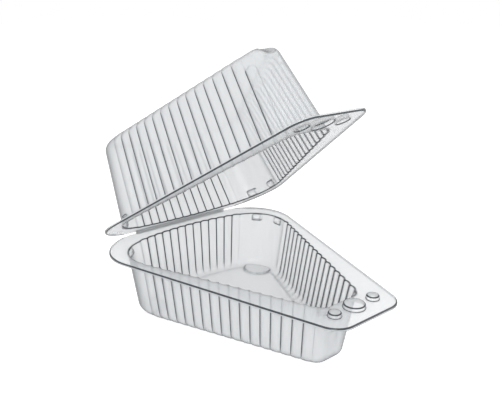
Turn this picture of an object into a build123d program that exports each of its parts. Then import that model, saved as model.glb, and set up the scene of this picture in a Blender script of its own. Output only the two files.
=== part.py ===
"""Hinged clamshell pack for one slice of pie, formed from thin clear plastic sheet.

A wedge-shaped base tray and a deeper lid meet at flat flanges. Both were formed in one
sheet and fold about a straight hinge line at the wide rear end. The side and rear walls
are fluted: a row of outward bowed lobes that meet in sharp valleys. Three buttons on the
nose tab snap the pack shut.

Frame: millimetres, +Z up, X along the hinge line, nose towards -Y. The origin is the
centre of the tray's flat bottom, where the pack stands. The lid is part open.
"""

from build123d import *
from collections import namedtuple
from math import asin, atan, atan2, cos, radians, sin, sqrt, tan
import os

# Sheet and slice, seen from above
sheet = 0.5                      # thickness of the formed plastic
slice_angle = 45.0               # between the two side walls: one eighth of a round pie
rim_radius = 164.0               # from the slice's apex to the rear wall, at the rim
nose_distance = 30.0             # from the apex to the nose wall, at the rim
rear_corner_radius = 21.5        # plain rounded corners between the rear and side walls
rear_corner_taper = 0.5          # how much of the inset a rear corner's radius loses
nose_corner_radius = 6.0
nose_round_share = 0.95          # most of the nose's half width that its corner takes
flats_per_corner = 9             # narrow flats that carry the round of one corner

# Depths and drafts
base_depth = 37.0
base_draft = 8.0                 # slope of the nose and side walls in degrees
base_rear_draft = 5.0            # slope of the rear wall
lid_depth = 51.5
lid_draft = 8.5
lid_rear_draft = 2.0
edge_radius = 5.0                # rounded edge between the walls and the floor or top

# Flutes
flute_bow = 0.18                 # how far a lobe bows out, as a share of its width
flats_per_lobe = 3               # narrow flats that carry the round of one lobe
base_side_flutes = 17
lid_side_flutes = 16
rear_flutes = 13

# Flanges
hinge_land = 8.6                # flange between the rear wall and the hinge line
nose_tab = 19.4                  # flange in front of the nose wall
flange_rear_half = 74.5          # half width of the flange's sides, carried on to the hinge line
flange_nose_half = 22.5          # the same at the front edge
flange_rear_radius = 28.0
flange_nose_radius = 12.0
lip_height = 1.4                 # edge of each flange, turned away from the other flange
flange_gap = 0.2                 # between the two flanges when the pack is shut

# Living hinge
bead_radius = 1.2                # rounded bead along the fold, a quarter on each half
bead_margin = 1.5                # flange left plain beyond each end of the bead
rest_opening = 34.0              # angle the lid stands open at

# Snap buttons on the nose tab
centre_button_radius = 5.6
side_button_radius = 3.4
button_height = 2.0
button_spacing = 13.7            # from the middle of the tab to a side button
button_setback = 7.4             # from the nose wall to the button centres
button_bevel = 0.4
button_clearance = 0.15          # between a button and the socket that snaps over it

# Stacking lugs and corner steps
lug_radius = 1.7
lug_length = 6.0
lug_sides = 8                    # narrow flats that carry a lug's round
lug_drop = 3.0                   # from the rim down to a lug's centre line
lug_angles = (22.0, 66.0)        # places of a rear corner's two lugs round its arc
step_radius = 9.5                # round step in each rear corner of the floor
step_height = 0.8

# Notch across the top edge of the lid's nose
notch_radius = 10.0
notch_depth = 1.5

parallel = 1e-6                  # sine below which two edges count as parallel

# Worked out
half_angle = radians(slice_angle / 2)
apex_y = -(rim_radius + nose_distance) / 2
hinge_y = apex_y + rim_radius + hinge_land
front_y = apex_y + nose_distance - nose_tab
button_y = apex_y + nose_distance - button_setback
hinge_z = base_depth + flange_gap / 2
Half = namedtuple("Half", "depth draft rear_draft side_flutes")
base_form = Half(base_depth, radians(base_draft), radians(base_rear_draft), base_side_flutes)
lid_form = Half(lid_depth, radians(lid_draft), radians(lid_rear_draft), lid_side_flutes)


def corner_radius(inset):
    """Radius of a rear corner on the outline that lies this far inside the rim's."""
    return rear_corner_radius - rear_corner_taper * inset


def rear_inset(form, inset, z):
    """How far the steeper rear wall lies inside the rim where the side walls lie this far inside."""
    drop = min(-z, form.depth - edge_radius)
    return inset - drop * (tan(form.draft) - tan(form.rear_draft))


def rear_corner(form, inset, z):
    """Centre and polar angle of the right rear corner of an inset outline."""
    radius = corner_radius(inset)
    reach = rim_radius - rear_inset(form, inset, z) - radius
    polar = half_angle - asin((radius + inset) / reach)
    return (reach * sin(polar), apex_y + reach * cos(polar)), polar


def nose_radius(inset):
    """Radius of a nose corner: as at the rim, or less where the nose of the inset outline is too narrow."""
    room = ((nose_distance + inset) * sin(half_angle) - inset) / (1 - sin(half_angle))
    return min(nose_corner_radius, nose_round_share * room)


def nose_corner(inset):
    """Centre of the right nose corner of an inset outline."""
    radius = nose_radius(inset)
    y = apex_y + nose_distance + inset + radius
    x = ((y - apex_y) * sin(half_angle) - inset - radius) / cos(half_angle)
    return x, y


def round_corner(centre, radius, first, last):
    """Points round a corner's arc, between two directions measured from +Y towards +X."""
    turns = [first + (last - first) * i / flats_per_corner for i in range(flats_per_corner + 1)]
    return [(centre[0] + radius * sin(turn), centre[1] + radius * cos(turn)) for turn in turns]


def flutes(points):
    """A row of lobes from valley to valley, each an arc bowed to the right of its direction."""
    half_turn = 2 * atan(2 * flute_bow)
    turns = [half_turn * (2 * i / flats_per_lobe - 1) for i in range(flats_per_lobe)]
    places = []
    for (x, y), (next_x, next_y) in zip(points, points[1:]):
        run_x, run_y = next_x - x, next_y - y
        for turn in turns:
            along = (1 + sin(turn) / sin(half_turn)) / 2
            out = (cos(turn) - cos(half_turn)) / (2 * sin(half_turn))
            places.append((x + along * run_x + out * run_y, y + along * run_y - out * run_x))
    return places


def outline(form, inset, z):
    """Corners of the fluted outline of the slice, counterclockwise from the middle of its nose."""
    side_turn = radians(90) + half_angle
    rear_centre, polar = rear_corner(form, inset, z)
    nose = round_corner(nose_corner(inset), nose_radius(inset), radians(180), side_turn)
    corner = round_corner(rear_centre, corner_radius(inset), side_turn, polar)
    (x, y), (end_x, end_y) = nose[-1], corner[0]
    shares = [i / form.side_flutes for i in range(form.side_flutes + 1)]
    side = [(x + (end_x - x) * share, y + (end_y - y) * share) for share in shares]
    reach = rim_radius - rear_inset(form, inset, z)
    turns = [polar * (1 - 2 * i / rear_flutes) for i in range(rear_flutes + 1)]
    rear = [(reach * sin(turn), apex_y + reach * cos(turn)) for turn in turns]
    right = nose[:-1] + flutes(side) + corner[:-1]
    left = [(-x, y) for x, y in reversed(nose[:-1] + flutes(side) + corner)]
    return [(x, y, z) for x, y in right + flutes(rear) + left]


def band(upper, lower):
    """Flats of the wall between two outlines."""
    faces = []
    for i in range(len(upper)):
        start, end = Vector(upper[i - 1]), Vector(upper[i])
        below_start, below_end = Vector(lower[i - 1]), Vector(lower[i])
        if (end - start).normalized().cross((below_end - below_start).normalized()).length < parallel:
            faces.append(Face(Wire.make_polygon([start, end, below_end, below_start])))
        else:
            faces.append(Face(Wire.make_polygon([start, end, below_end])))
            faces.append(Face(Wire.make_polygon([start, below_end, below_start])))
    return faces


def floor_inset(form):
    """How far the flat floor's edge lies inside the rim at the nose and sides, seen from above."""
    turn_down = form.depth - edge_radius + edge_radius * sin(form.draft)
    return turn_down * tan(form.draft) + edge_radius * cos(form.draft)


def bowl(form, offset, lead):
    """Solid hollow that opens at z = 0 and goes down, offset inwards from the sheet's outside.

    The wall slopes in at the draft angle, turns through the rounded edge and ends flat.
    Lead carries the outline straight up past the rim, for cutting.
    """
    radius = edge_radius - offset
    start = offset / cos(form.draft)
    turn_down = form.depth - edge_radius
    turn_in = floor_inset(form)
    sections = [(start, 0.0)]
    for angle in (form.draft, (form.draft + radians(90)) / 2, radians(90)):
        sections.append((turn_in - radius * cos(angle), -turn_down - radius * sin(angle)))
    outlines = [outline(form, inset, z) for inset, z in sections]
    if lead > 0:
        outlines.insert(0, [(x, y, lead) for x, y, z in outlines[0]])
    faces = [Face(Wire.make_polygon(points)) for points in (outlines[0], outlines[-1])]
    for upper, lower in zip(outlines, outlines[1:]):
        faces += band(upper, lower)
    return Solid(Shell(faces))


def flange_outline(margin):
    """Flange's outline seen from above, this far inside its edge."""
    lean = (flange_rear_half - flange_nose_half) / (hinge_y - front_y)
    shift = margin * sqrt(1 + lean * lean)
    rear_y, nose_y = hinge_y - margin, front_y + margin
    rear_half = flange_rear_half - shift - lean * margin
    nose_half = flange_nose_half - shift + lean * margin
    corners = [(nose_half, nose_y), (rear_half, rear_y), (-rear_half, rear_y), (-nose_half, nose_y)]
    face = make_face(Polyline(*corners, close=True))
    rear = face.vertices().filter_by(lambda v: v.Y > 0)
    face = fillet(rear, flange_rear_radius - margin)
    nose = face.vertices().filter_by(lambda v: v.Y < front_y + flange_nose_radius / 2)
    return fillet(nose, flange_nose_radius - margin)


def buttons(grow, z, height):
    """The three buttons of the nose tab standing on the plane z, their radii grown this much."""
    row = [(0.0, centre_button_radius), (-button_spacing, side_button_radius), (button_spacing, side_button_radius)]
    return Part() + [Pos(x, button_y, z + height / 2) * Cylinder(radius + grow, height) for x, radius in row]


def bevelled(posts):
    """The same posts with their top edges bevelled."""
    return chamfer(posts.faces().filter_by(Axis.Z).group_by(Axis.Z)[-1].edges(), button_bevel)


def lugs(form, margin):
    """Stacking lugs: short bars along the inside of the wall, under the rim, this much smaller all round."""
    inset = sheet + lug_drop * tan(form.draft)
    (x, y), _ = rear_corner(form, inset, -lug_drop)
    wall = corner_radius(inset)
    turns = [radians(90) + half_angle - radians(angle) for angle in lug_angles]
    places = [(x + wall * sin(turn), y + wall * cos(turn), turn) for turn in turns]
    nose_x, nose_y = nose_corner(inset)
    turn = radians(135) + half_angle / 2
    radius = nose_radius(inset)
    places.append((nose_x + radius * sin(turn), nose_y + radius * cos(turn), turn))
    bar = extrude(RegularPolygon(lug_radius - margin, lug_sides), lug_length / 2 - margin, both=True)
    bars = Part()
    for px, py, turn in places:
        for side in (1, -1):
            along = Vector(side * cos(turn), -sin(turn), 0)
            bars += Plane((side * px, py, -lug_drop), x_dir=(0, 0, 1), z_dir=along) * bar
    return bars


def notch(form, grow):
    """Bar that presses a shallow notch across the rounded edge of the nose, its radius grown this much."""
    lean = radians(45)
    out = edge_radius - notch_depth + notch_radius
    y = apex_y + nose_distance + floor_inset(form) - out * sin(lean)
    z = edge_radius - form.depth - out * cos(lean)
    along = Vector(0, cos(lean), -sin(lean))
    return Plane((0, y, z), x_dir=(1, 0, 0), z_dir=along) * Cylinder(notch_radius + grow, 4 * edge_radius)


def hinge_bead():
    """A quarter of the round bead along the fold, under this half's flange."""
    lean = atan2(flange_rear_half - flange_nose_half, hinge_y - front_y)
    rounded = flange_rear_radius / tan((radians(90) - lean) / 2)
    length = 2 * (flange_rear_half - rounded - bead_margin)
    round_bar = Pos(0, hinge_y, flange_gap / 2) * Rot(Y=90) * Cylinder(bead_radius, length)
    quarter = Pos(0, hinge_y - bead_radius, -bead_radius) * Box(length, 2 * bead_radius, 2 * bead_radius)
    return round_bar & quarter


def half_shell(form, outside, hollow):
    """One thin formed half round its hollow, its rim at z = 0, with flange, lip, bead and lugs."""
    plate = extrude(flange_outline(0.0), -sheet)
    lip = extrude(flange_outline(0.0) - flange_outline(sheet), -lip_height)
    lip -= Pos(0, hinge_y, 0) * Box(2 * flange_rear_half, 2 * lip_height, 4 * lip_height)
    shell = plate + lip + hinge_bead() + outside - hollow
    shell += lugs(form, 0.0) & hollow
    return shell - lugs(form, sheet)


def base_tray():
    """Shallow half, standing on its flat floor, with the buttons and the corner steps."""
    outside = bowl(base_form, 0.0, 0.0)
    shell = half_shell(base_form, outside, bowl(base_form, sheet, sheet))
    shell += bevelled(buttons(0.0, 0.0, button_height))
    shell -= buttons(-sheet, -sheet, button_height)
    inset = floor_inset(base_form)
    (x, y), polar = rear_corner(base_form, inset, -base_depth)
    turn = (radians(90) + half_angle + polar) / 2
    wall = corner_radius(inset)
    for side in (1, -1):
        middle = Pos(side * (x + wall * sin(turn)), y + wall * cos(turn), -base_depth)
        top = step_height + sheet
        shell += (middle * Pos(0, 0, top / 2) * Cylinder(step_radius, top)) & outside
        shell -= middle * Cylinder(step_radius - sheet, 2 * step_height)
    return Pos(0, 0, base_depth) * shell


def lid():
    """Deep half, open at the rest angle, with a notched nose and sockets that snap over the buttons."""
    outside = bowl(lid_form, 0.0, 0.0) - notch(lid_form, 0.0)
    hollow = bowl(lid_form, sheet, sheet) - notch(lid_form, sheet)
    shell = half_shell(lid_form, outside, hollow)
    reach = button_height + button_clearance
    shell += mirror(bevelled(buttons(button_clearance + sheet, 0.0, reach + sheet)), about=Plane.XY)
    shell -= mirror(buttons(button_clearance, 0.0, reach), about=Plane.XY)
    shut = Pos(0, 0, base_depth + flange_gap) * mirror(shell, about=Plane.XY)
    fold = Pos(0, hinge_y, hinge_z)
    return fold * Rot(X=-rest_opening) * fold.inverse() * shut


os.makedirs("parts", exist_ok=True)
for name, piece in (("base_tray", base_tray()), ("lid", lid())):
    export_step(piece, f"parts/{name}.step")
    print(name, round(piece.volume), "cubic mm,", len(piece.solids()), "solid")
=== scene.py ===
"""Looks of a hinged clamshell pack for one slice of pie, formed from thin clear sheet.

Each half is one sheet: fluted walls, rounded floor edge, flat flange, turned lip and snap
buttons. Its middle surface is worked out in millimetres with the rim at z = 0 and the hollow
below, put in its place, and given the sheet's thickness.
"""
import math

import bmesh
import bpy
import numpy as np
from mathutils import Matrix, Vector
from mathutils.geometry import delaunay_2d_cdt


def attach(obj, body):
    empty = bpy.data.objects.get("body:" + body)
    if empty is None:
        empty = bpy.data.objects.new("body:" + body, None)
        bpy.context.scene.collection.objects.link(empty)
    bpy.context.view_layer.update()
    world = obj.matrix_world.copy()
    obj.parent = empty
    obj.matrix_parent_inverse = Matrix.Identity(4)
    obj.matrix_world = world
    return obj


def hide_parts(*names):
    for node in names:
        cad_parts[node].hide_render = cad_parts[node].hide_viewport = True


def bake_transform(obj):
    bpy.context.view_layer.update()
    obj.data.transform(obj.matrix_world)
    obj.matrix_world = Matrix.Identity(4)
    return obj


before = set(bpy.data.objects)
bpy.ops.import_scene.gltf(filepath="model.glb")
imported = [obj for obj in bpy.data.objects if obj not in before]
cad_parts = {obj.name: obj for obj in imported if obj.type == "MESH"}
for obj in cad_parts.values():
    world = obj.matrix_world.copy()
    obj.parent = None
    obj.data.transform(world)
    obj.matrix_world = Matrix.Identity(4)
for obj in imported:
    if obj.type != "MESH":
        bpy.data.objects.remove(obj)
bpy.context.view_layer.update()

# Sheet and slice, in millimetres, as the solids have them
SHEET = 0.5
HALF_ANGLE = math.radians(22.5)
RIM_RADIUS = 164.0
NOSE_DISTANCE = 30.0
REAR_CORNER = 21.5
REAR_TAPER = 0.5
NOSE_CORNER, NOSE_ROUND_SHARE = 6.0, 0.95
EDGE = 5.0
BASE_DEPTH, BASE_DRAFT, BASE_REAR_DRAFT = 37.0, math.radians(8), math.radians(5)
LID_DEPTH, LID_DRAFT, LID_REAR_DRAFT = 51.5, math.radians(8.5), math.radians(2)
FLUTE_BOW = 0.18
BASE_LOBES, LID_LOBES, REAR_LOBES = 17, 16, 13
HINGE_LAND, NOSE_TAB = 8.6, 19.4
FLANGE_REAR_HALF, FLANGE_NOSE_HALF = 74.5, 22.5
FLANGE_REAR_RADIUS, FLANGE_NOSE_RADIUS = 28.0, 12.0
LIP, GAP = 1.4, 0.2
BEAD, BEAD_MARGIN = 1.2, 1.5
REST_OPENING = math.radians(34)
BUTTON_RADII = (5.6, 3.4, 3.4)
BUTTON_HEIGHT, BUTTON_SPACING, BUTTON_SETBACK, BUTTON_CLEARANCE = 2.0, 13.7, 7.4, 0.15
LUG_RADIUS, LUG_LENGTH, LUG_DROP = 1.7, 6.0, 3.0
LUG_ANGLES = (22.0, 66.0)
STEP_RADIUS, STEP_HEIGHT = 9.5, 0.8
NOTCH_RADIUS, NOTCH_DEPTH = 10.0, 1.5

# Fine forms of the sheet, in millimetres
RIM_ROUND, LIP_ROUND = 0.8, 0.65    # from the flange into the wall, and into the lip
LIP_END, LIP_FADE = 2.6, 4.0        # the lip ends this far before the fold, and dies out over this length
FLUTE_FADE = 0.5                    # share of a lobe's stand-off that is lost at the floor
SHORT_LOBE, LOBE_END = 8.0, 1.6     # where the lid's last lobes stop above its floor, and over what length
STEP_SLOPE = 0.9                    # width of the corner step's soft edge
BEAD_END = 3.0                      # length over which the bead closes at each end
FLOOR_CENTRE_Y = 14.0               # where the floor's rings draw together

MID = SHEET / 2
APEX_Y = -(RIM_RADIUS + NOSE_DISTANCE) / 2
HINGE_Y = APEX_Y + RIM_RADIUS + HINGE_LAND
HINGE_Z = BASE_DEPTH + GAP / 2
FRONT_Y = APEX_Y + NOSE_DISTANCE - NOSE_TAB
BUTTON_Y = APEX_Y + NOSE_DISTANCE - BUTTON_SETBACK
BEAD_START = math.asin((MID + GAP / 2) / BEAD)
BEAD_REACH = BEAD * math.cos(BEAD_START)

# How finely the surfaces are cut: places along a lobe, columns round the corners, close rows on the wall
LOBE_STEPS = np.array([0.0, 0.1, 0.22, 0.36, 0.5, 0.64, 0.78, 0.9])
NOSE_COLUMNS, NOSE_CORNER_COLUMNS, REAR_CORNER_COLUMNS = 12, 16, 46
LUG_ROWS_END, FLOOR_ROWS_START = -5.6, 8.0
WELD, SLIVER = 5e-6, 1e-6           # in metres: points this near are one, and edges this short are dropped


def ease(x):
    """Smooth step from 0 to 1: three x squared less two x cubed, held level outside."""
    x = np.clip(x, 0.0, 1.0)
    return x * x * (3 - 2 * x)


def floor_inset(depth, draft):
    """How far the flat floor's edge lies inside the rim."""
    return (depth - EDGE + EDGE * math.sin(draft)) * math.tan(draft) + EDGE * math.cos(draft)


def wall_profile(depth, draft):
    """Insets and heights down one wall: a small round over the rim, the sloped wall, the floor's round.

    The rows lie close where the lugs are and over the last stretch above the floor's round.
    """
    centre = RIM_ROUND * ((1 - math.sin(draft)) * math.tan(draft) - math.cos(draft))
    rim = np.linspace(math.pi / 2, draft, 5)
    start = MID / math.cos(draft)
    inset = [start + centre + RIM_ROUND * np.cos(rim)]
    height = [-MID - RIM_ROUND + RIM_ROUND * np.sin(rim)]
    inset[0] -= MID * math.tan(draft)
    top, low = height[0][-1], -(depth - EDGE) - (EDGE - MID) * math.sin(draft)
    run = np.concatenate([np.linspace(top, LUG_ROWS_END, 11)[1:],
                          np.linspace(LUG_ROWS_END, low + FLOOR_ROWS_START, 7)[1:],
                          np.linspace(low + FLOOR_ROWS_START, low, 14)[1:-1]])
    height.append(run)
    inset.append(start - run * math.tan(draft))
    inset[0] += (start - top * math.tan(draft)) - inset[0][-1]
    edge = np.linspace(draft, math.pi / 2, 13)
    height.append(-(depth - EDGE) - (EDGE - MID) * np.sin(edge))
    inset.append(floor_inset(depth, draft) - (EDGE - MID) * np.cos(edge))
    return np.concatenate(inset), np.concatenate(height)


def lobe_stand(lobes):
    """Along a run of lobes: place from 0 to 1, stand-off of a circle's arc from 0 to 1, and lobe number."""
    number, step = np.meshgrid(np.arange(lobes), LOBE_STEPS, indexing="ij")
    half_turn = 2 * math.atan(2 * FLUTE_BOW)
    stand = (np.cos(half_turn * (2 * step - 1)) - math.cos(half_turn)) / (1 - math.cos(half_turn))
    return ((number + step) / lobes).ravel(), stand.ravel(), number.ravel()


def lug_bulge(along, height):
    """How far a lug stands in from the wall: a round bar's half section, rounded off at its ends."""
    across = np.clip(1 - ((height + LUG_DROP) / LUG_RADIUS) ** 2, 0, 1) ** 0.5
    ends = np.clip(1 - np.abs(2 * along / LUG_LENGTH) ** 6, 0, 1) ** 0.5
    return LUG_RADIUS * across * ends


def rear_corner(depth, draft, rear_draft, inset, height):
    """Reach, polar angle, radius and centre of the right rear corner; the rear wall is the steeper one."""
    drop = np.minimum(-height, depth - EDGE)
    rear_inset = inset - drop * (math.tan(draft) - math.tan(rear_draft))
    radius = REAR_CORNER - REAR_TAPER * inset
    reach = RIM_RADIUS - rear_inset - radius
    polar = HALF_ANGLE - np.arcsin((radius + inset) / reach)
    return RIM_RADIUS - rear_inset, polar, radius, reach * np.sin(polar), APEX_Y + reach * np.cos(polar)


def wall_grid(depth, draft, rear_draft, lobes, short_lobe):
    """The wall's points, row by row down the profile and column by column round the outline.

    A run between corners shares its points out between its ends, and each stands off it by the lobe's
    arc. A corner is an arc about its centre, less the lugs. The left side mirrors the right one.
    """
    inset, height = (a[:, None] for a in wall_profile(depth, draft))
    fade = 1 - FLUTE_FADE * ease((-height - depth + 2 * EDGE) / (2 * EDGE))
    cos_h, sin_h = math.cos(HALF_ANGLE), math.sin(HALF_ANGLE)
    room = ((NOSE_DISTANCE + inset) * sin_h - inset) / (1 - sin_h)
    nose_r = np.minimum(NOSE_CORNER, NOSE_ROUND_SHARE * room)
    nose_y = APEX_Y + NOSE_DISTANCE + inset + nose_r
    nose_x = ((nose_y - APEX_Y) * sin_h - inset - nose_r) / cos_h
    reach, polar, radius, rear_x, rear_y = rear_corner(depth, draft, rear_draft, inset, height)
    side_turn = math.pi / 2 + HALF_ANGLE

    flat = np.linspace(0, 1, NOSE_COLUMNS, endpoint=False)[None, :]
    nose = np.stack([flat * nose_x, nose_y - nose_r + 0 * flat], -1)

    turn = np.linspace(math.pi, side_turn, NOSE_CORNER_COLUMNS, endpoint=False)[None, :]
    arm = nose_r - lug_bulge(nose_r * (turn - (math.pi + side_turn) / 2), height)
    nose_corner = np.stack([nose_x + arm * np.sin(turn), nose_y + arm * np.cos(turn)], -1)

    start = np.stack([nose_x + nose_r * cos_h, nose_y - nose_r * sin_h], -1)
    end = np.stack([rear_x + radius * cos_h, rear_y - radius * sin_h], -1)
    place, stand, number = lobe_stand(lobes)
    chord = np.linalg.norm(end - start, axis=-1) / lobes
    bow = FLUTE_BOW * chord * stand[None, :] * fade
    if short_lobe:
        arch = chord / 2 * (1 - np.sqrt(stand[None, :]))
        ending = ease((height + depth - short_lobe - arch) / LOBE_END)
        bow = np.where(number[None, :] == 0, bow * ending, bow)
    side = start + (end - start) * place[None, :, None] + bow[..., None] * np.array([cos_h, -sin_h])

    share = np.linspace(0, 1, REAR_CORNER_COLUMNS, endpoint=False)[None, :]
    turn = side_turn + (polar - side_turn) * share
    lug = sum(lug_bulge(radius * (turn - side_turn + math.radians(a)), height) for a in LUG_ANGLES)
    corner = np.stack([rear_x + (radius - lug) * np.sin(turn), rear_y + (radius - lug) * np.cos(turn)], -1)

    place, stand, _ = lobe_stand(REAR_LOBES)
    turn = polar * (1 - 2 * place[None, :])
    out = reach + FLUTE_BOW * 2 * polar / REAR_LOBES * RIM_RADIUS * stand[None, :] * fade
    rear = np.stack([out * np.sin(turn), APEX_Y + out * np.cos(turn)], -1)

    right = np.concatenate([nose, nose_corner, side, corner], 1)
    left = np.concatenate([right[:, 1:], rear[:, :1]], 1)[:, ::-1] * np.array([-1, 1])
    points = np.concatenate([right, rear, left], 1)
    heights = np.broadcast_to(height, points.shape[:2])
    return np.concatenate([points, heights[..., None]], -1)


def floor_grid(edge, centre_y):
    """The floor: its edge drawn in towards a centre, in close rings near the edge and wide ones inside."""
    rings = np.concatenate([np.linspace(1, 0.8, 15), np.linspace(0.8, 0.0, 9)[1:]])[1:, None, None]
    centre = np.array([0.0, centre_y, edge[0, 2]])
    return centre + (edge[None] - centre) * rings


def corner_steps(points, depth):
    """Raises the floor in its rear corners by a round step about each corner's middle."""
    inset = floor_inset(depth, BASE_DRAFT)
    _, polar, radius, x, y = rear_corner(depth, BASE_DRAFT, BASE_REAR_DRAFT, inset, -depth)
    turn = (math.pi / 2 + HALF_ANGLE + polar) / 2
    x, y = x + radius * math.sin(turn), y + radius * math.cos(turn)
    away = np.hypot(np.abs(points[..., 0]) - x, points[..., 1] - y)
    level = MID - depth + STEP_HEIGHT * ease((STEP_RADIUS + STEP_SLOPE / 3 - away) / STEP_SLOPE)
    points[..., 2] = np.maximum(points[..., 2], level)


def nose_notch(points, depth, draft):
    """Presses a round bar across the nose's rounded edge: points inside the bar move out to its surface."""
    lean = math.radians(45)
    out = EDGE - NOTCH_DEPTH + NOTCH_RADIUS
    y = APEX_Y + NOSE_DISTANCE + floor_inset(depth, draft) - out * math.sin(lean)
    z = EDGE - depth - out * math.cos(lean)
    along = np.array([0, math.cos(lean), -math.sin(lean)])
    offset = points - np.array([0, y, z])
    offset -= (offset @ along)[..., None] * along
    distance = np.linalg.norm(offset, axis=-1, keepdims=True)
    push = np.clip(NOTCH_RADIUS + MID - distance, 0, None)
    points += offset / distance * push


def flange_outline(margin):
    """Rounded outline of the flange, this far inside its edge: four arcs with straight runs between."""
    lean = math.atan2(FLANGE_REAR_HALF - FLANGE_NOSE_HALF, HINGE_Y - FRONT_Y)
    rear_y = HINGE_Y - BEAD_REACH + MID
    side = np.array([math.cos(lean), -math.sin(lean)])
    line = FLANGE_REAR_HALF * side[0] + HINGE_Y * side[1]
    rear_c = np.array([0.0, rear_y - FLANGE_REAR_RADIUS])
    rear_c[0] = (line - FLANGE_REAR_RADIUS - rear_c[1] * side[1]) / side[0]
    nose_c = np.array([0.0, FRONT_Y + FLANGE_NOSE_RADIUS])
    nose_c[0] = (line - FLANGE_NOSE_RADIUS - nose_c[1] * side[1]) / side[0]
    nose = np.linspace(math.pi, math.pi / 2 + lean, 25)[:, None]
    rear = np.linspace(math.pi / 2 + lean, 0, 49)[:, None]
    arcs = [c + (r - margin) * np.concatenate([np.sin(t), np.cos(t)], 1)
            for c, r, t in ((nose_c, FLANGE_NOSE_RADIUS, nose), (rear_c, FLANGE_REAR_RADIUS, rear))]
    run = arcs[0][-1] + (arcs[1][0] - arcs[0][-1]) * np.linspace(0, 1, 60)[1:-1, None]
    right = np.concatenate([arcs[0], run, arcs[1]])
    back = right[-1] * np.linspace(1, -1, 60)[1:-1, None] ** np.array([1, 0])
    front = right[0] * np.linspace(-1, 1, 20)[1:-1, None] ** np.array([1, 0])
    return np.concatenate([right, back, right[::-1] * np.array([-1, 1]), front])


def lip_grid():
    """The flange's edge turned down: a quarter round, then straight, fading out at the hinge line."""
    turn = np.linspace(0, math.pi / 2, 6)
    margins = np.append(MID + LIP_ROUND * (1 - np.sin(turn)), MID)
    drops = np.append(LIP_ROUND * (1 - np.cos(turn)), LIP - MID)
    rings = np.stack([flange_outline(m) for m in margins])
    hold = ease((HINGE_Y - LIP_END - rings[..., 1]) / LIP_FADE)
    heights = -MID - drops[:, None] * hold
    return np.concatenate([rings, heights[..., None]], -1)


def button_grid(x, radius, rise, way):
    """A round button: a profile of radius and height turned about an upright axis.

    The profile starts with a fillet from the flange, goes up a nearly upright side, over a rounded
    shoulder and level to the middle.
    """
    out = np.array([0.45, 0.15, 0.0, -0.08, -0.14, -0.26, -0.55, -1.0])
    high = np.array([0.0, 0.06, 0.3, 0.75 * rise, 0.88 * rise, 0.96 * rise, rise, rise])
    out = np.append(radius + out, (radius - 1) * np.linspace(0.75, 0.0, 4))
    high = np.append(high, np.full(4, rise))
    turn = np.linspace(0, 2 * math.pi, 48, endpoint=False)[None, :]
    return np.stack([x + out[:, None] * np.cos(turn), BUTTON_Y + out[:, None] * np.sin(turn),
                     -MID + way * high[:, None] + 0 * turn], -1)


def bead_closing(x):
    """1 along the bead and 0 at its two ends, as a quarter of an ellipse."""
    length = np.abs(x).max()
    end = np.clip((np.abs(x) - length + BEAD_END) / BEAD_END, 0, 1)
    return np.clip(1 - end ** 2, 0, 1) ** 0.5


def bead_line():
    """Places along the fold where the bead runs."""
    ring = flange_outline(MID)
    half = np.abs(ring[ring[:, 1] > ring[:, 1].max() - 1e-6, 0]).max() - BEAD_MARGIN
    return np.linspace(half, -half, 60)


def bead_quarter():
    """This half's quarter of the bead: the flange's rear edge carried down round the fold's axis."""
    x = bead_line()[None, :]
    turn = np.linspace(BEAD_START, math.pi / 2, 7)[:, None]
    hold = bead_closing(x)
    start = np.array([-BEAD_REACH, -MID - GAP / 2])
    y = start[0] + hold * (-BEAD * np.cos(turn) - start[0])
    z = start[1] + hold * (-BEAD * np.sin(turn) - start[1])
    return np.stack([x + 0 * y, HINGE_Y + y, GAP / 2 + z], -1)


def quads(rows, columns, closed):
    """Quads of a grid counted row by row; a closed one joins its last column to its first."""
    row = np.arange(rows - 1)[:, None] * columns
    here = np.arange(columns if closed else columns - 1)[None, :]
    there = (here + 1) % columns
    corners = [row + here, row + there, row + columns + there, row + columns + here]
    return np.stack(corners, -1).reshape(-1, 4)


def inside(points, loop):
    """Whether each point lies inside a closed loop: an odd count of edges crossed on a ray."""
    a, b = loop, np.roll(loop, -1, 0)
    x, y = points[:, :1], points[:, 1:2]
    spans = (a[:, 1] > y) != (b[:, 1] > y)
    rise = np.where(b[:, 1] == a[:, 1], 1.0, b[:, 1] - a[:, 1])
    cross = a[:, 0] + (y - a[:, 1]) / rise * (b[:, 0] - a[:, 0])
    return (spans & (x < cross)).sum(1) % 2 == 1


def flat_sheet(outer, holes, height):
    """Flat triangles inside the outer loop and outside the holes."""
    loops = [outer, *holes]
    points = np.concatenate(loops)
    starts = np.cumsum([0] + [len(loop) for loop in loops[:-1]])
    edges = []
    for start, loop in zip(starts, loops):
        here = np.arange(len(loop))
        edges.append(start + np.stack([here, (here + 1) % len(loop)], 1))
    edges = np.concatenate(edges)
    found = delaunay_2d_cdt([Vector(p) for p in points], edges.tolist(), [], 1, 1e-5)
    corners = np.array([tuple(v) for v in found[0]])
    faces = np.array(found[2])
    middles = corners[faces].mean(1)
    keep = ~np.any([inside(middles, hole) for hole in holes], 0)
    heights = np.full((len(corners), 1), height)
    return np.concatenate([corners, heights], 1), faces[keep]


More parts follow.
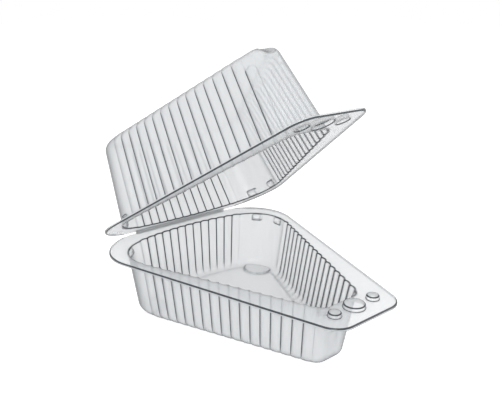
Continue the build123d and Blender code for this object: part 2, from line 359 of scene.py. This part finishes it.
def formed_half(depth, draft, rear_draft, lobes, short_lobe, way, grow, rise):
    """All grids of one half, rim at z = 0: points, faces, and how many of them are the flat flange's.

    The flat flange's faces come first.
    """
    wall = wall_grid(depth, draft, rear_draft, lobes, short_lobe)
    bowl = np.concatenate([wall, floor_grid(wall[-1], FLOOR_CENTRE_Y)])
    if short_lobe:
        nose_notch(bowl, depth, draft)
    else:
        corner_steps(bowl, depth)
    lip = lip_grid()
    posts = [button_grid(x, r + grow, rise, way)
             for x, r in zip((0.0, -BUTTON_SPACING, BUTTON_SPACING), BUTTON_RADII)]
    holes = [ring[0, :, :2] for ring in (bowl, *posts)]
    plate, plate_faces = flat_sheet(lip[0, :, :2], holes, -MID)
    grids = [(bowl, True), (lip, True), (bead_quarter(), False)] + [(post, True) for post in posts]
    points, faces, count = [plate], plate_faces.tolist(), len(plate)
    for grid, closed in grids:
        points.append(grid.reshape(-1, 3))
        faces += (quads(*grid.shape[:2], closed) + count).tolist()
        count += grid.shape[0] * grid.shape[1]
    return np.concatenate(points), faces, len(plate_faces)


def bends(work):
    """How tightly the sheet bends at each point, per millimetre: the turn from one face to the next over
    the distance between their middles, the most of the edges that meet there."""
    found = np.zeros(len(work.verts))
    for edge in work.edges:
        if len(edge.link_faces) == 2:
            one, two = edge.link_faces
            apart = (one.calc_center_median() - two.calc_center_median()).length * 1000
            tight = edge.calc_face_angle(0.0) / max(apart, 1e-3)
            for corner in edge.verts:
                found[corner.index] = max(found[corner.index], tight)
    return found


def sheet_piece(name, points, faces, flat_count, material):
    """A mesh of the middle surface, its grids welded, turned one way and given the sheet's thickness.

    Two attributes go to the material: how tightly the sheet bends, which it turns into painted shade in the
    creases, and which faces are the flat flange, where that painted shade is left out.
    """
    mesh = bpy.data.meshes.new(name)
    mesh.from_pydata((points * 0.001).tolist(), [], faces)
    flat = (np.arange(len(faces)) < flat_count).astype(np.float32)
    mesh.attributes.new("flat", "FLOAT", "FACE").data.foreach_set("value", flat)
    work = bmesh.new()
    work.from_mesh(mesh)
    bmesh.ops.remove_doubles(work, verts=work.verts, dist=WELD)
    bmesh.ops.dissolve_degenerate(work, edges=work.edges, dist=SLIVER)
    bmesh.ops.recalc_face_normals(work, faces=work.faces)
    work.verts.index_update()
    tight = bends(work)
    work.to_mesh(mesh)
    work.free()
    mesh.attributes.new("bend", "FLOAT", "POINT").data.foreach_set("value", tight.astype(np.float32))
    mesh.shade_smooth()
    piece = bpy.data.objects.new(name, mesh)
    bpy.context.scene.collection.objects.link(piece)
    mesh.materials.append(material)
    wall = piece.modifiers.new("sheet", "SOLIDIFY")
    wall.thickness = SHEET * 0.001
    wall.offset = 0.0
    wall.use_even_offset = False
    return piece


def stood_up(points):
    """The base's place: its floor on the ground."""
    return points + np.array([0, 0, BASE_DEPTH])


def opened(points):
    """The lid's place: turned over on the base and swung open about the hinge line."""
    y = points[..., 1] - HINGE_Y
    z = BASE_DEPTH + GAP - points[..., 2] - HINGE_Z
    c, s = math.cos(REST_OPENING), math.sin(REST_OPENING)
    return np.stack([points[..., 0], HINGE_Y + y * c + z * s, HINGE_Z - y * s + z * c], -1)


def fold_strip():
    """The living hinge: an arc round the fold's axis from the base's quarter to the lid's."""
    x = bead_line()[None, :]
    hold = bead_closing(x)
    share = np.linspace(0, 1, 13)[:, None]
    last = math.pi / 2 - REST_OPENING
    turn = -math.pi / 2 + (last + math.pi / 2) * share
    base_edge = np.array([-BEAD_REACH, -MID - GAP / 2])
    lid_edge = (opened(np.array([0, HINGE_Y - BEAD_REACH, -MID])) - np.array([0, HINGE_Y, HINGE_Z]))[1:]
    straight = base_edge + (lid_edge - base_edge) * share
    y = straight[:, :1] + hold * (BEAD * np.cos(turn) - straight[:, :1])
    z = straight[:, 1:] + hold * (BEAD * np.sin(turn) - straight[:, 1:])
    return np.stack([x + 0 * y, HINGE_Y + y, HINGE_Z + z], -1)


def math_node(nodes, links, operation, *values):
    """A maths node's result; a value is a number or another node's output."""
    node = nodes.new("ShaderNodeMath")
    node.operation = operation
    for socket, value in zip(node.inputs, values):
        if isinstance(value, float):
            socket.default_value = value
        else:
            links.new(value, socket)
    return node.outputs["Value"]


def range_node(nodes, links, value, low, high, new_low, new_high):
    """A range node's result: low and high, and what lies between, moved to the new ones."""
    node = nodes.new("ShaderNodeMapRange")
    links.new(value, node.inputs["Value"])
    for name, number in (("From Min", low), ("From Max", high), ("To Min", new_low), ("To Max", new_high)):
        node.inputs[name].default_value = number
    return node.outputs["Result"]


def clear_sheet():
    """Clear formed plastic: glossy, a little hazy and pale where it is seen flat on. Its colour carries
    painted shade, near black where it is seen edge on or bends tightly, and the sheet is made denser there
    so the painted shade shows."""
    material = bpy.data.materials.new("clear_sheet")
    material.use_nodes = True
    nodes, links = material.node_tree.nodes, material.node_tree.links
    shader = nodes["Principled BSDF"]
    shader.inputs["IOR"].default_value = 1.57
    shader.inputs["Specular IOR Level"].default_value = 0.6
    place = nodes.new("ShaderNodeTexCoord")

    ripple = nodes.new("ShaderNodeTexNoise")
    ripple.inputs["Scale"].default_value = 55.0
    ripple.inputs["Detail"].default_value = 2.0
    links.new(place.outputs["Object"], ripple.inputs["Vector"])
    bump = nodes.new("ShaderNodeBump")
    bump.inputs["Strength"].default_value = 0.12
    bump.inputs["Distance"].default_value = 0.0006
    links.new(ripple.outputs["Fac"], bump.inputs["Height"])
    links.new(bump.outputs["Normal"], shader.inputs["Normal"])

    haze = nodes.new("ShaderNodeTexNoise")
    haze.inputs["Scale"].default_value = 22.0
    haze.inputs["Detail"].default_value = 3.0
    links.new(place.outputs["Object"], haze.inputs["Vector"])
    rough = range_node(nodes, links, haze.outputs["Fac"], 0.3, 0.7, 0.08, 0.18)
    links.new(rough, shader.inputs["Roughness"])

    bend = nodes.new("ShaderNodeAttribute")
    bend.attribute_name = "bend"
    flat = nodes.new("ShaderNodeAttribute")
    flat.attribute_name = "flat"
    curved = math_node(nodes, links, "SUBTRACT", 1.0, flat.outputs["Fac"])
    bent = math_node(nodes, links, "MULTIPLY", bend.outputs["Fac"], curved)
    # Painted shade in the creases: the colour is darkened where the sheet bends tightly, in the flutes'
    # valleys, the lips and the lugs.
    tight = range_node(nodes, links, bent, 0.5, 1.3, 0.0, 1.0)
    # Painted shade at the edges: the colour is darkened where the sheet is seen edge on, more on rounded
    # places than on flat ones, standing in for the shadowy surroundings seen through clear sheet there.
    edge_on = nodes.new("ShaderNodeLayerWeight")
    edge_on.inputs["Blend"].default_value = 0.35
    painted_edge_shade = range_node(nodes, links, edge_on.outputs["Facing"], 0.34, 0.78, 0.02, 1.0)
    round_share = range_node(nodes, links, bent, 0.01, 0.045, 0.12, 1.0)
    painted_edge_shade = math_node(nodes, links, "MULTIPLY", painted_edge_shade, round_share)
    # Both painted shades together, edges and creases.
    painted_shade = math_node(nodes, links, "MAXIMUM", tight, painted_edge_shade)

    # The sheet's own pale colour, mixed towards a near-black painted shade colour by the painted shade.
    colour_and_painted_shade = nodes.new("ShaderNodeMix")
    colour_and_painted_shade.data_type = "RGBA"
    colour_and_painted_shade.inputs["A"].default_value = (0.90, 0.92, 0.94, 1)
    colour_and_painted_shade.inputs["B"].default_value = (0.05, 0.06, 0.07, 1)
    links.new(painted_shade, colour_and_painted_shade.inputs["Factor"])
    links.new(colour_and_painted_shade.outputs["Result"], shader.inputs["Base Color"])

    # The painted shade also makes the sheet more opaque, so that it shows.
    density = range_node(nodes, links, painted_shade, 0.0, 1.0, 0.42, 0.97)
    links.new(density, shader.inputs["Alpha"])
    return material


def camera():
    """The camera at the picture's viewing angle, from its turn, height, roll and focal length in pixels."""
    turn, height, roll = (math.radians(a) for a in (-39.65, 18.58, 0.38))
    focal_pixels, picture_width = 598.6, 500
    back = Vector((math.sin(turn) * math.cos(height), -math.cos(turn) * math.cos(height), math.sin(height)))
    right = Vector((math.cos(turn), math.sin(turn), 0))
    up = back.cross(right)
    right, up = right * math.cos(roll) + up * math.sin(roll), up * math.cos(roll) - right * math.sin(roll)
    lens = bpy.data.cameras.new("camera")
    lens.sensor_width = 36.0
    lens.lens = focal_pixels * lens.sensor_width / picture_width
    lens.clip_start = 0.01
    seat = bpy.data.objects.new("camera", lens)
    bpy.context.scene.collection.objects.link(seat)
    turned = Matrix((right, up, back)).transposed().to_4x4()
    seat.matrix_world = Matrix.Translation((-0.2023, -0.2396, 0.1768)) @ turned
    bpy.context.scene.camera = seat


def lamp(name, place, target, size, power):
    """A soft square lamp that faces a target."""
    light = bpy.data.lights.new(name, "AREA")
    light.size = size
    light.energy = power
    holder = bpy.data.objects.new(name, light)
    bpy.context.scene.collection.objects.link(holder)
    holder.location = place
    holder.rotation_euler = (Vector(target) - Vector(place)).to_track_quat("-Z", "Y").to_euler()


def studio():
    """A pale floor and sky that show as white, and soft lamps."""
    bpy.context.scene.view_settings.view_transform = "Standard"
    world = bpy.data.worlds.new("sky")
    bpy.context.scene.world = world
    world.use_nodes = True
    nodes, links = world.node_tree.nodes, world.node_tree.links
    sky = nodes["Background"]
    path = nodes.new("ShaderNodeLightPath")
    level = nodes.new("ShaderNodeMapRange")
    level.inputs["To Min"].default_value = 0.68
    level.inputs["To Max"].default_value = 1.0
    links.new(path.outputs["Is Camera Ray"], level.inputs["Value"])
    links.new(level.outputs["Result"], sky.inputs["Strength"])
    sky.inputs["Color"].default_value = (1, 1, 1, 1)

    mesh = bpy.data.meshes.new("floor")
    mesh.from_pydata([(-4, -4, 0), (4, -4, 0), (4, 4, 0), (-4, 4, 0)], [], [(0, 1, 2, 3)])
    ground = bpy.data.objects.new("floor", mesh)
    bpy.context.scene.collection.objects.link(ground)
    paint = bpy.data.materials.new("floor")
    paint.use_nodes = True
    nodes, links = paint.node_tree.nodes, paint.node_tree.links
    shader = nodes["Principled BSDF"]
    shader.inputs["Base Color"].default_value = (0.9, 0.9, 0.9, 1)
    shader.inputs["Roughness"].default_value = 1.0
    shader.inputs["Specular IOR Level"].default_value = 0.0
    shader.inputs["Emission Color"].default_value = (1, 1, 1, 1)
    path = nodes.new("ShaderNodeLightPath")
    shine = nodes.new("ShaderNodeMath")
    shine.operation = "MULTIPLY"
    shine.inputs[1].default_value = 0.55
    links.new(path.outputs["Is Camera Ray"], shine.inputs[0])
    links.new(shine.outputs["Value"], shader.inputs["Emission Strength"])
    mesh.materials.append(paint)
    lamp("key", (-0.6, -0.6, 0.5), (0, 0, 0.06), 0.4, 3.2)
    lamp("fill", (0.7, -0.5, 0.45), (0, 0, 0.06), 0.5, 0.8)
    lamp("back", (0.1, 0.8, 0.6), (0, 0, 0.08), 0.5, 0.4)


camera()
studio()
plastic = clear_sheet()

points, faces, flat_count = formed_half(
    BASE_DEPTH, BASE_DRAFT, BASE_REAR_DRAFT, BASE_LOBES, 0.0, 1, -MID, BUTTON_HEIGHT)
tray = sheet_piece("tray_sheet", stood_up(points), faces, flat_count, plastic)
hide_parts("base_tray")
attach(tray, "base")

points, faces, flat_count = formed_half(
    LID_DEPTH, LID_DRAFT, LID_REAR_DRAFT, LID_LOBES, SHORT_LOBE, -1, BUTTON_CLEARANCE + MID,
    BUTTON_HEIGHT + BUTTON_CLEARANCE)
cover = sheet_piece("lid_sheet", opened(points), faces, flat_count, plastic)
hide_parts("lid")
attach(cover, "lid")

strip = fold_strip()
strip_faces = quads(*strip.shape[:2], False).tolist()
fold = sheet_piece("living_hinge", strip.reshape(-1, 3), strip_faces, 0, plastic)
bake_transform(fold)
